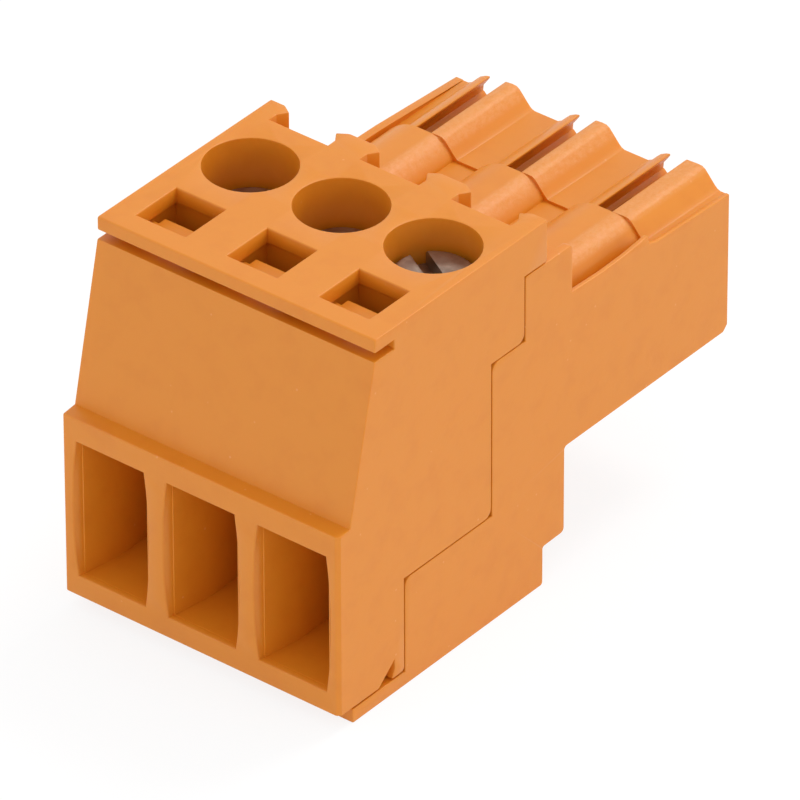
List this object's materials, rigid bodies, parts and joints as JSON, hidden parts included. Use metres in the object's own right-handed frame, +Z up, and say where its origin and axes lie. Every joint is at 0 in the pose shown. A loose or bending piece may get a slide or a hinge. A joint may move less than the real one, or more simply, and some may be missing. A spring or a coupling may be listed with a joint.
{
  "type": "pluggable terminal block",
  "caption": "Pluggable terminal block in orange plastic: wires enter the front face and are held by lift clamps under slotted screws; the narrow rear end plugs onto a pin header.",
  "frame": {"origin": "centre of the block's width and length, on the underside of its base plate", "axes": "+Z up out of the screw wells, +Y towards the socket end that plugs onto the header, +X to the right seen from the wire face"},
  "size_m": [0.0106, 0.019, 0.0132],
  "materials": {
    "housing": "moulded, slightly satin orange",
    "screw": "zinc-plated steel, dull",
    "yoke": "zinc-plated steel",
    "contact": "tinned copper alloy"
  },
  "bodies": {
    "block": {"front_housing": "housing", "rear_housing": "housing", "contact_1": "contact", "contact_2": "contact", "contact_3": "contact"},
    "screw_1": {"clamp_screw_1": "screw"},
    "screw_2": {"clamp_screw_2": "screw"},
    "screw_3": {"clamp_screw_3": "screw"},
    "yoke_1": {"clamp_yoke_1": "yoke"},
    "yoke_2": {"clamp_yoke_2": "yoke"},
    "yoke_3": {"clamp_yoke_3": "yoke"}
  },
  "joints": [
    {"name": "screw_1_turn", "type": "hinge", "parent": "block", "child": "screw_1", "pos_m": [-0.0035, -0.00271, 0.0116], "axis": [0, 0, -1], "range_deg": [0, 1800]},
    {"name": "yoke_1_lift", "type": "slide", "parent": "block", "child": "yoke_1", "axis": [0, 0, 1], "range_m": [0, 0.002]},
    {"name": "screw_2_turn", "type": "hinge", "parent": "block", "child": "screw_2", "pos_m": [0, -0.00271, 0.0116], "axis": [0, 0, -1], "range_deg": [0, 1800]},
    {"name": "yoke_2_lift", "type": "slide", "parent": "block", "child": "yoke_2", "axis": [0, 0, 1], "range_m": [0, 0.002]},
    {"name": "screw_3_turn", "type": "hinge", "parent": "block", "child": "screw_3", "pos_m": [0.0035, -0.00271, 0.0116], "axis": [0, 0, -1], "range_deg": [0, 1800]},
    {"name": "yoke_3_lift", "type": "slide", "parent": "block", "child": "yoke_3", "axis": [0, 0, 1], "range_m": [0, 0.002]}
  ],
  "couplings": [
    {"joint": "screw_1_turn", "follows": "yoke_1_lift", "rad_per_m": 15706},
    {"joint": "screw_2_turn", "follows": "yoke_2_lift", "rad_per_m": 15706},
    {"joint": "screw_3_turn", "follows": "yoke_3_lift", "rad_per_m": 15706}
  ]
}
